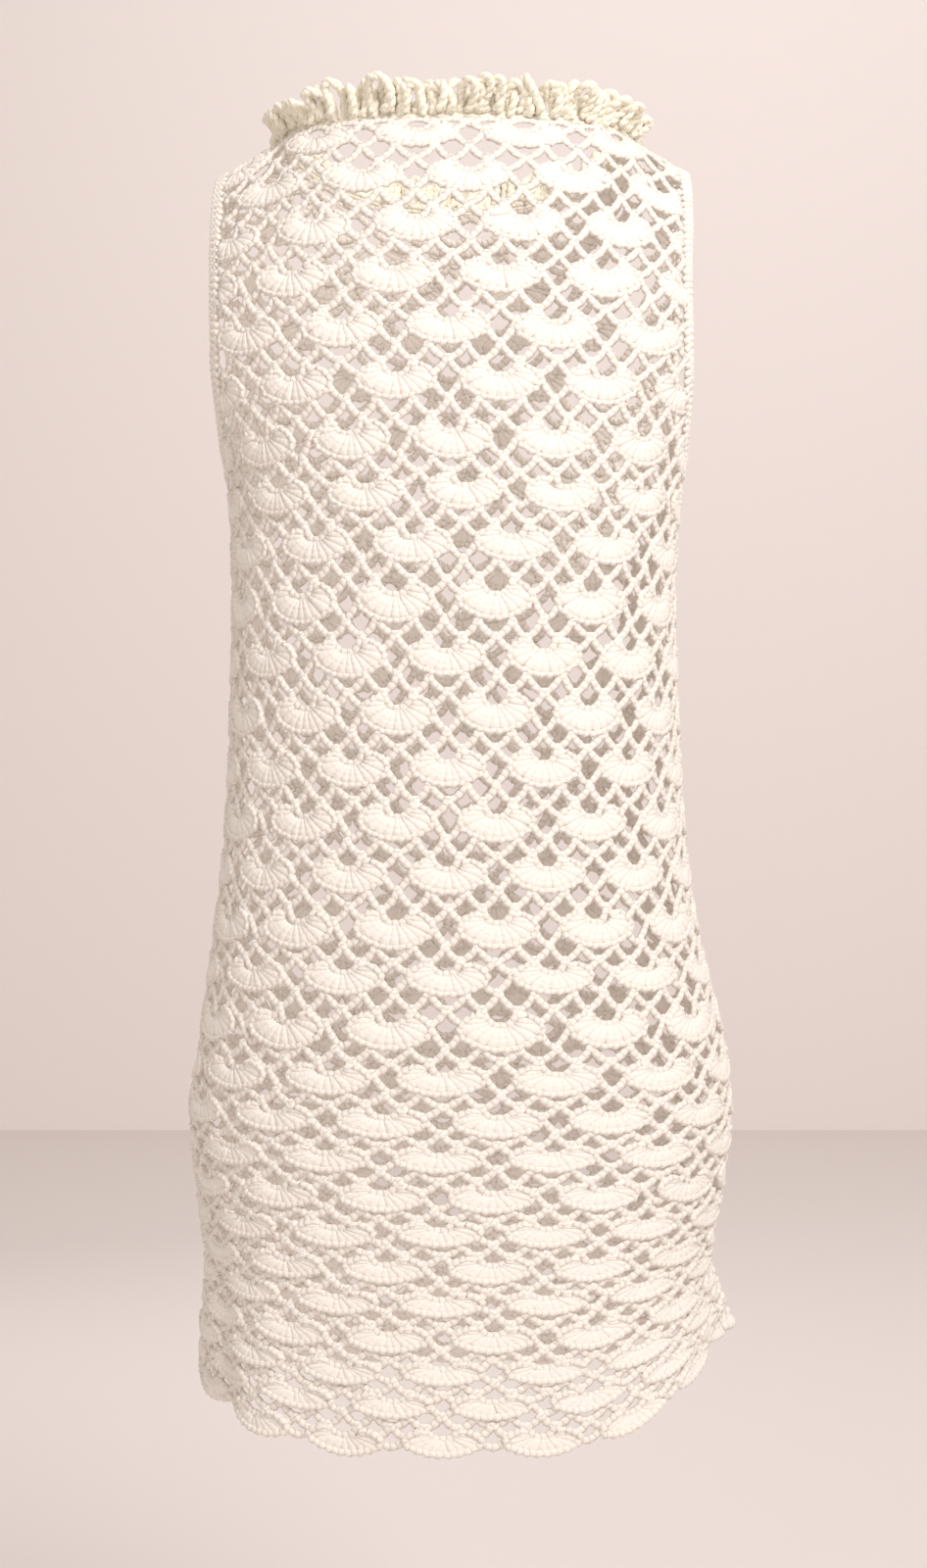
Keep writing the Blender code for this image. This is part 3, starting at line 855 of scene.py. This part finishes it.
        def reach_at(turn: np.ndarray | float, share: np.ndarray | float) -> np.ndarray:
            """The distance from the fan's middle at a share of its height."""
            degrees = np.abs(np.degrees(turn))
            inner = np.interp(degrees, FAN_DEGREES, FAN_INNER)
            return inner + (np.interp(degrees, FAN_DEGREES, FAN_OUTER) - inner) * share

        def at(turn: np.ndarray, share: np.ndarray | float) -> tuple[np.ndarray, np.ndarray]:
            """The distance along the row, and the level."""
            reach = reach_at(turn, share)
            x = reach * np.sin(turn) * wide_scale
            return middle + x, top - reach * np.cos(turn) * high_scale + slope * x

        end = FAN_DEGREES[-1]
        turns = np.radians(np.linspace(-end, end, self.posts))
        share = np.linspace(0.0, 0.95, 4)
        step = np.radians(2 * end / (self.posts - 1))
        for turn in turns + self.random.normal(0.0, 0.02, len(turns)):
            x, y = at(np.full(4, turn), share)
            lift = self.lift + 0.0003 + POST_DOME + self.jitter(0.00015)
            beside = math.hypot(math.cos(turn) * wide_scale, math.sin(turn) * high_scale)
            wide = np.clip(0.74 * reach_at(turn, share) * step * beside, *POST_HALF_WIDTHS)
            wide[-1] *= 0.92
            thick = np.full(4, POST_THICKNESS)
            self.add("shells", np.column_stack([x, y, lift]), wide, thick, 1)
        turn = np.radians(np.linspace(-end - 3, end + 3, 2 * self.posts + 1))
        beat = np.cos(np.arange(len(turn)) * math.pi)
        x, y = at(turn, 0.97 + 0.035 * beat)
        size = (0.0021 + 0.0004 * lower**2) * (1.0 + 0.10 * beat)
        lift = np.full(len(turn), self.lift + 0.0009 + 0.0008 * lower**2)
        self.add("shells", np.column_stack([x, y, lift]), size, size, 0)
        self.shell_total += 1

    def row(self, row: int) -> None:
        """Works one row between the shells above it and its own.

        Args:
            row: The row's number.
        """
        repeat = SHELL_ROWS[row].repeat
        if row:
            above = self.centres(row - 1)
            above_repeat = SHELL_ROWS[row - 1].repeat
        else:
            above, above_repeat = [c + repeat / 2 for c in self.centres(0)], repeat
        start = self.level(row, 0.0)
        joints = []
        for a, b in zip(above, above[1:]):
            reach = self.edge_joint * above_repeat
            joints += [Joint(a + reach, start), Joint((a + b) / 2, start), Joint(b - reach, start)]
        joints = [
            Joint(j.along + self.jitter(0.0008), j.level + self.jitter(self.slack)) for j in joints
        ]
        hung = []
        for a, b in zip(joints, joints[1:]):
            low = Joint(
                (a.along + b.along) / 2 + self.jitter(self.slack),
                self.level(row, self.hang) + self.jitter(self.slack),
            )
            self.loop(a, b, low, 0.0008)
            hung.append(low)
        for joint in joints:
            self.knot(joint, self.lift + 0.0006)
        middles = [(a.along + b.along) / 2 for a, b in zip(hung, hung[1:])]
        bases = {}
        for centre in self.centres(row):
            nearest = min(range(len(middles)), key=lambda i: abs(middles[i] - centre))
            if abs(middles[nearest] - centre) < 0.4 * repeat:
                bases[nearest] = centre
        between = {}
        for i, (a, b) in enumerate(zip(hung, hung[1:])):
            if i in bases:
                low = Joint(bases[i], self.level(row, self.bowl))
            else:
                low = Joint(middles[i] + self.jitter(self.slack), self.level(row, self.second))
                between[i] = low
            self.loop(a, b, low, 0.0006, 3.2 if i in bases else 1.9)
        for joint in hung:
            self.knot(joint, self.lift + 0.0004)
        order = sorted(bases)
        for i, j in zip(order, order[1:]):
            inner = [between[k] for k in range(i + 1, j) if k in between]
            if len(inner) < 2:
                continue
            depth = 0.80 if row == len(SHELL_ROWS) - 1 else 0.96
            low = Joint((inner[0].along + inner[-1].along) / 2, self.level(row, depth))
            self.loop(inner[0], inner[-1], low, 0.0006)
            for joint in (inner[0], inner[-1]):
                self.knot(joint, self.lift + 0.0004)
        for i in order:
            left, right = between.get(i - 1), between.get(i + 1)
            if left and right:
                self.shell(bases[i], left, right, row)

    def neck_arcs(self) -> None:
        """The arcs of chain that join the lace to the neck trim."""
        first = self.centres(0)
        step = SHELL_ROWS[0].repeat / 3
        foot, peak = -0.0062, -0.0012
        for centre in first:
            for k in range(3):
                a = centre + (k - 0.5) * step
                x = np.linspace(a, a + step, 7)
                share = (x - a) / step
                y = foot + (peak - foot) * np.sin(np.pi * share).clip(0.0) ** 0.8
                path = curved(np.column_stack([x, y, np.full(7, self.lift + 0.0004)]), 9)
                size = np.ones(9)
                self.add("loops", path, self.yarn[0] * size, self.yarn[1] * size, 0)

    def build(self, name: str) -> list[bpy.types.Object]:
        """Works the whole panel.

        Args:
            name: The node that it replaces.

        Returns:
            Its pieces: the shells, then the loops.
        """
        self.neck_arcs()
        for row in range(len(SHELL_ROWS)):
            self.row(row)
        self.finish_groups()
        shells = self.shells.to_object(f"{name}_shells", self.finishes)
        loops = self.loops.to_object(f"{name}_chain_loops", self.finishes)
        for piece in (shells, loops):
            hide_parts(name)
        LOG.info("%s: %d shells", name, self.shell_total)
        return [shells, loops]


# ---------------------------------------------------------------- edges and seams


@dataclass
class EdgePath:
    """A line along an edge of the dress, with the ways out of the cloth and across."""

    points: np.ndarray
    normals: np.ndarray
    across: np.ndarray

    @classmethod
    def through(
        cls, points: np.ndarray, normals: np.ndarray, step: float, inner: np.ndarray
    ) -> "EdgePath":
        """Resamples a closed line.

        Args:
            points: Its points.
            normals: The way out of the cloth at each point.
            step: The distance between the new points.
            inner: A point that the across direction turns away from.

        Returns:
            The path.
        """
        ring = np.concatenate([points, points[:1]])
        out = np.concatenate([normals, normals[:1]])
        length = np.concatenate([[0.0], np.cumsum(np.linalg.norm(np.diff(ring, axis=0), axis=1))])
        count = max(8, round(length[-1] / step))
        at = np.arange(count) / count * length[-1]
        ring = np.stack([np.interp(at, length, ring[:, k]) for k in range(3)], 1)
        out = np.stack([np.interp(at, length, out[:, k]) for k in range(3)], 1)
        for _ in range(4):
            ring = ring * 0.5 + (np.roll(ring, 1, 0) + np.roll(ring, -1, 0)) * 0.25
            out = out * 0.5 + (np.roll(out, 1, 0) + np.roll(out, -1, 0)) * 0.25
        out /= np.linalg.norm(out, axis=1)[:, None]
        ahead = np.roll(ring, -1, 0) - np.roll(ring, 1, 0)
        across = np.cross(ahead, out)
        across /= np.linalg.norm(across, axis=1)[:, None]
        if np.sum(across * (ring - inner)) < 0:
            across = -across
        return cls(ring, out, across)

    def lane(self, away: float, lift: float) -> np.ndarray:
        """A line beside the edge, and above the cloth's inside."""
        return self.points + self.across * away + self.normals * lift


@dataclass
class ArmholeEdging:
    """Two rows of single crochet round an armhole."""

    cloths: dict[Side, Cloth]
    finishes: list[bpy.types.Material]
    way: int
    stitch: float = 0.0054
    row_radius: float = 0.0025
    lanes: tuple[float, float] = (0.0022, 0.0060)
    lift: float = 0.0020

    def path(self) -> EdgePath:
        """The armhole's edge, up the back and down the front."""
        points, normals = [], []
        form = self.cloths[Side.BACK].form
        fine = np.linspace(0.0, 1.0, 70)
        levels = form.underarm_z * (1 - fine) ** 1.6
        for side, run in ((Side.BACK, levels), (Side.FRONT, levels[::-1])):
            cloth = self.cloths[side]
            edge = cloth.edge_at(run)[0 if self.way < 0 else 1]
            flat = np.column_stack([edge, run, np.zeros(len(run))])
            at, out = cloth.at(flat)
            points.append(at[:-1])
            normals.append(out[:-1])
        points, normals = np.concatenate(points), np.concatenate(normals)
        centre = points.mean(axis=0)
        path = EdgePath.through(points, normals, self.stitch / 4, centre)
        path.across = -path.across
        return path

    def build(self) -> bpy.types.Object:
        """Works the edging.

        Returns:
            The piece.
        """
        name = "armhole_edging_left" if self.way < 0 else "armhole_edging_right"
        path = self.path()
        mesh = YarnMesh(7)
        count = len(path.points) // 4 * 4
        keep = np.arange(count)
        beat = 0.5 + 0.5 * np.cos(keep * math.pi / 2)
        for lane, phase in zip(self.lanes, (0, 2)):
            size = self.row_radius * (0.86 + 0.26 * np.roll(beat, phase))
            line = path.lane(lane, self.lift)[keep]
            out = path.normals[keep]
            mesh.strands(line[None], out[None], size[None], size[None], closed=True)
        for low, high, phase in ((-0.0022, 0.0020, 0), (0.0022, 0.0060, 2)):
            at = keep[phase::4]
            share = np.linspace(0.0, 1.0, 4)[None, :, None]
            lift = self.lift + 0.0005
            a, b = path.lane(low, lift)[at], path.lane(high, lift)[at]
            line = a[:, None] * (1 - share) + b[:, None] * share
            out = np.repeat(path.normals[at][:, None], 4, axis=1)
            size = np.tile(np.array([0.0013, 0.0022, 0.0022, 0.0013]), (len(at), 1))
            mesh.strands(line, out, size, size, 1)
        made = mesh.to_object(f"{name}_stitches", self.finishes)
        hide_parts(name)
        return made


@dataclass
class Seams:
    """The slip stitches along the shoulder and side seams."""

    cloths: dict[Side, Cloth]
    finishes: list[bpy.types.Material]
    radius: float = 0.0015
    lift: float = 0.0021

    def between(self, flats: list[np.ndarray]) -> tuple[np.ndarray, np.ndarray]:
        """The middle of the two panels' edges, and the way out of the cloth there."""
        (a, a_out), (b, b_out) = (c.at(flat) for c, flat in zip(self.cloths.values(), flats))
        out = a_out + b_out
        return (a + b) / 2, out / np.linalg.norm(out, axis=1)[:, None]

    def line(self, way: int, levels: np.ndarray) -> tuple[np.ndarray, np.ndarray]:
        """A side seam."""
        edges = [cloth.edge_at(levels)[0 if way < 0 else 1] for cloth in self.cloths.values()]
        lift = np.zeros(len(levels))
        return self.between([np.column_stack([edge, levels, lift]) for edge in edges])

    def shoulder(self, way: int) -> tuple[np.ndarray, np.ndarray]:
        """A shoulder seam."""
        flats = []
        for side, cloth in self.cloths.items():
            along, points = cloth.form.row_line(side, 0.0)
            neck = way * (cloth.form.neck_half_width + 0.002)
            start = np.interp(neck, points[:, 0], along)
            edge = cloth.edge_at(np.array([0.0]))[0 if way < 0 else 1][0]
            run = np.linspace(start, edge, 12)
            flats.append(np.column_stack([run, np.zeros(12), np.zeros(12)]))
        return self.between(flats)

    def build(self) -> bpy.types.Object:
        """Sews the four seams.

        Returns:
            The piece.
        """
        mesh = YarnMesh(6)
        form = self.cloths[Side.BACK].form
        for way in (-1, 1):
            levels = np.linspace(form.underarm_z - 0.002, form.hem_z + 0.010, 240)
            for points, out in (self.line(way, levels), self.shoulder(way)):
                beat = 0.88 + 0.2 * (np.arange(len(points)) % 2)
                size = self.radius * beat[None]
                mesh.strands((points + out * self.lift)[None], out[None], size, size, 0)
        made = mesh.to_object("seam_stitches", self.finishes)
        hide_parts("back_panel")
        return made


LOOP_RISE = np.array([0.0, 0.36, 0.70, 0.94, 1.0, 0.88, 0.58, 0.24, 0.02])
LOOP_OVER = np.array([-0.50, -0.78, -0.95, -0.72, 0.05, 0.95, 1.35, 1.25, 0.75])
TRIM_ENDS = 0.70


@dataclass
class NeckTrim:
    """The trim round the neck: a worked band and a ring of looped, twisted cords."""

    cloths: dict[Side, Cloth]
    finishes: list[bpy.types.Material]
    loops: int = 112
    height: float = 0.0200
    leg_gap: float = 0.0098
    ply: float = 0.0022
    twist: float = 0.0125
    lean: float = 0.42
    seed: int = 11

    def path(self) -> EdgePath:
        """The neckline, along the back and then along the front."""
        points, normals = [], []
        form = self.cloths[Side.BACK].form
        for side, flip in ((Side.BACK, 1), (Side.FRONT, -1)):
            along, line = form.row_line(side, 0.0)
            reach = np.interp((-form.neck_half_width, form.neck_half_width), line[:, 0], along)
            run = np.linspace(*reach, 60)[::flip]
            flat = np.column_stack([run, np.full(60, -0.0001), np.zeros(60)])
            at, out = self.cloths[side].at(flat)
            points.append(at[:-1])
            normals.append(out[:-1])
        below = np.array([0.0, 0.0, -0.5])
        return EdgePath.through(np.concatenate(points), np.concatenate(normals), 0.0030, below)

    def loop_line(self, path: EdgePath, place: float, random: np.random.Generator) -> np.ndarray:
        """The middle of one looped cord.

        Args:
            path: The neckline.
            place: Where it stands, as a share of the way round.
            random: The unevenness.

        Returns:
            Its points.
        """
        count = len(path.points)
        i = int(place * count) % count
        outer = round(place * self.loops) % 2
        half_width = self.cloths[Side.BACK].form.neck_half_width
        past = abs(path.points[i][0]) / half_width - TRIM_ENDS
        end = float(np.clip(past / (1.0 - TRIM_ENDS), 0.0, 1.0))
        root = path.points[i] + path.across[i] * 0.0030
        root = root + path.normals[i] * (0.0010 + 0.0042 * outer)
        beside = path.points[(i + 1) % count] - path.points[i - 1]
        beside /= np.linalg.norm(beside)
        away = np.array([path.normals[i][0], path.normals[i][1], 0.0])
        away /= max(np.linalg.norm(away), 1e-6)
        away[0] += 1.5 * end * np.sign(path.points[i][0])
        away /= max(np.linalg.norm(away), 1e-6)
        turn = 0.45 + random.normal(0.0, 0.42)
        flat = beside * math.cos(turn) + away * math.sin(turn)
        height = self.height * (1.0 + float(np.clip(random.normal(0.0, 0.11), -0.18, 0.16)))
        height *= (1.0 - 0.14 * outer) * (1.0 - 0.35 * end)
        sway = random.normal(0.0, 0.24)
        lean = self.lean + 0.26 * outer + 0.25 * end + random.normal(0.0, 0.14)
        half = self.leg_gap / 2 * (1.0 + random.normal(0.0, 0.14))
        rise = LOOP_RISE * height
        angle = np.linspace(0.0, 2 * math.pi, len(rise))
        curl = 0.0020 * np.sin(angle + random.uniform(0, 6))
        line = root + flat * (LOOP_OVER * half)[:, None]
        line = line + np.array([0.0, 0.0, 1.0]) * rise[:, None] + beside * (rise * sway)[:, None]
        line = line + away * (LOOP_RISE**1.5 * height * lean + curl)[:, None]
        return curved(line, 28)

    def plies(self, line: np.ndarray, start: float) -> tuple[np.ndarray, np.ndarray]:
        """Two plies twisted round a line.

        Args:
            line: The cord's middle.
            start: The angle at which the first ply starts.

        Returns:
            The plies' points, and their directions out.
        """
        ahead = np.gradient(line, axis=0)
        step = np.linalg.norm(ahead, axis=1)
        ahead /= step[:, None]
        middle = line.mean(axis=0)
        plane = np.cross(line[0] - middle, line[len(line) // 2] - middle)
        plane /= np.linalg.norm(plane)
        beside = np.cross(ahead, plane)
        beside /= np.linalg.norm(beside, axis=1)[:, None]
        along = np.concatenate([[0.0], np.cumsum(step[1:])])
        found, outs = [], []
        for k in range(2):
            turn = start + along / self.twist * 2 * math.pi + k * math.pi
            out = plane * np.cos(turn)[:, None] + beside * np.sin(turn)[:, None]
            found.append(line + out * self.ply * 0.52)
            outs.append(out)
        return np.array(found), np.array(outs)

    def build(self) -> bpy.types.Object:
        """Works the trim.

        Returns:
            The piece.
        """
        random = np.random.default_rng(self.seed)
        path = self.path()
        mesh = YarnMesh(7)
        for away, lift, radius in ((0.0012, 0.0022, 0.0019), (0.0040, 0.0026, 0.0022)):
            beat = 0.9 + 0.16 * (np.arange(len(path.points)) % 2)
            size = radius * beat[None]
            line = path.lane(away, lift)
            mesh.strands(line[None], path.normals[None], size, size, 0, closed=True)
        for n in range(self.loops):
            line = self.loop_line(path, (n + 0.5 + random.normal(0, 0.10)) / self.loops, random)
            points, outs = self.plies(line, random.uniform(0, 6.28))
            size = np.full(points.shape[:2], self.ply * (1.0 + random.normal(0, 0.04)))
            mesh.strands(points, outs, size, size, 0)
        made = mesh.to_object("neck_trim_cords", self.finishes)
        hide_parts("neck_trim")
        return made


# ---------------------------------------------------------------- the studio


@dataclass
class Studio:
    """A plain pale floor and backdrop, soft light and the camera."""

    floor_z: float = -1.30
    wall_y: float = 4.5
    distance: float = 1.75
    eye: tuple[float, float] = (0.004, -0.442)
    lens: float = 57.9
    sky: tuple[float, float, float, float] = (1.0, 0.885, 0.80, 1.0)
    sky_strength: float = 0.52

    def plane(
        self, name: str, size: float, place: tuple, turn: tuple, colour: tuple
    ) -> bpy.types.Object:
        """A plain stage plane."""
        bpy.ops.object.select_all(action="DESELECT")
        bpy.ops.mesh.primitive_plane_add(size=size, location=place, rotation=turn)
        made = bpy.context.object
        made.name = name
        made.data.materials.append(PlainFinish(name, colour).build())
        return made

    def light(
        self,
        name: str,
        size: float,
        watts: float,
        place: tuple,
        colour: tuple,
        aim: tuple = (0, 0, -0.45),
    ) -> None:
        """A soft square light that faces the dress, or another place."""
        data = bpy.data.lights.new(name, "AREA")
        data.size, data.energy, data.color = size, watts, colour
        made = bpy.data.objects.new(name, data)
        made.location = place
        made.rotation_euler = (Vector(aim) - Vector(place)).to_track_quat("-Z", "Y").to_euler()
        made.visible_camera = False
        bpy.context.scene.collection.objects.link(made)

    def build(self) -> None:
        """Sets the stage."""
        self.plane("floor", 24.0, (0.0, 0.0, self.floor_z), (0.0, 0.0, 0.0), (0.78, 0.735, 0.72))
        upright = (math.pi / 2, 0.0, 0.0)
        self.plane("backdrop", 12.0, (0.0, self.wall_y, 0.0), upright, (0.94, 0.885, 0.87))
        self.light("key", 0.9, 42.0, (0.95, -1.8, 1.05), (1.0, 0.985, 0.97))
        self.light("fill", 1.8, 7.5, (-1.6, -2.2, -0.2), (1.0, 0.97, 0.96))
        self.light("behind", 1.5, 9.0, (-0.9, 2.1, 0.5), (1.0, 0.97, 0.95))
        self.light("wall", 3.0, 50.0, (0.7, 1.6, 2.4), (1.0, 0.97, 0.96), (0.5, 4.5, -0.9))
        world = bpy.data.worlds.new("studio")
        world.use_nodes = True
        inputs = world.node_tree.nodes["Background"].inputs
        inputs["Color"].default_value = self.sky
        inputs["Strength"].default_value = self.sky_strength
        bpy.context.scene.world = world
        bpy.context.scene.view_settings.view_transform = "Standard"
        data = bpy.data.cameras.new("camera")
        data.lens = self.lens
        made = bpy.data.objects.new("camera", data)
        made.location = (self.eye[0], -self.distance, self.eye[1])
        made.rotation_euler = (math.pi / 2, 0.0, 0.0)
        bpy.context.scene.collection.objects.link(made)
        bpy.context.scene.camera = made


def main() -> None:
    """Builds the dress's looks and its studio."""
    logging.basicConfig(level=logging.INFO, format="%(message)s")
    bpy.ops.object.select_all(action="DESELECT")
    form = DressForm()
    cloths = {side: Cloth(form, side) for side in Side}
    yarns = [CHAIN_FINISH.build(), POST_FINISH.build()]
    trim = [TRIM_FINISH.build()]
    back = ShellLace(cloths[Side.BACK], yarns, seed=3).build("back_panel")
    front = ShellLace(cloths[Side.FRONT], yarns, seed=8).build("front_panel")
    for way in (-1, 1):
        ArmholeEdging(cloths, yarns, way).build()
    seams = Seams(cloths, yarns).build()
    NeckTrim(cloths, trim).build()
    Studio().build()


if __name__ == "__main__":
    main()
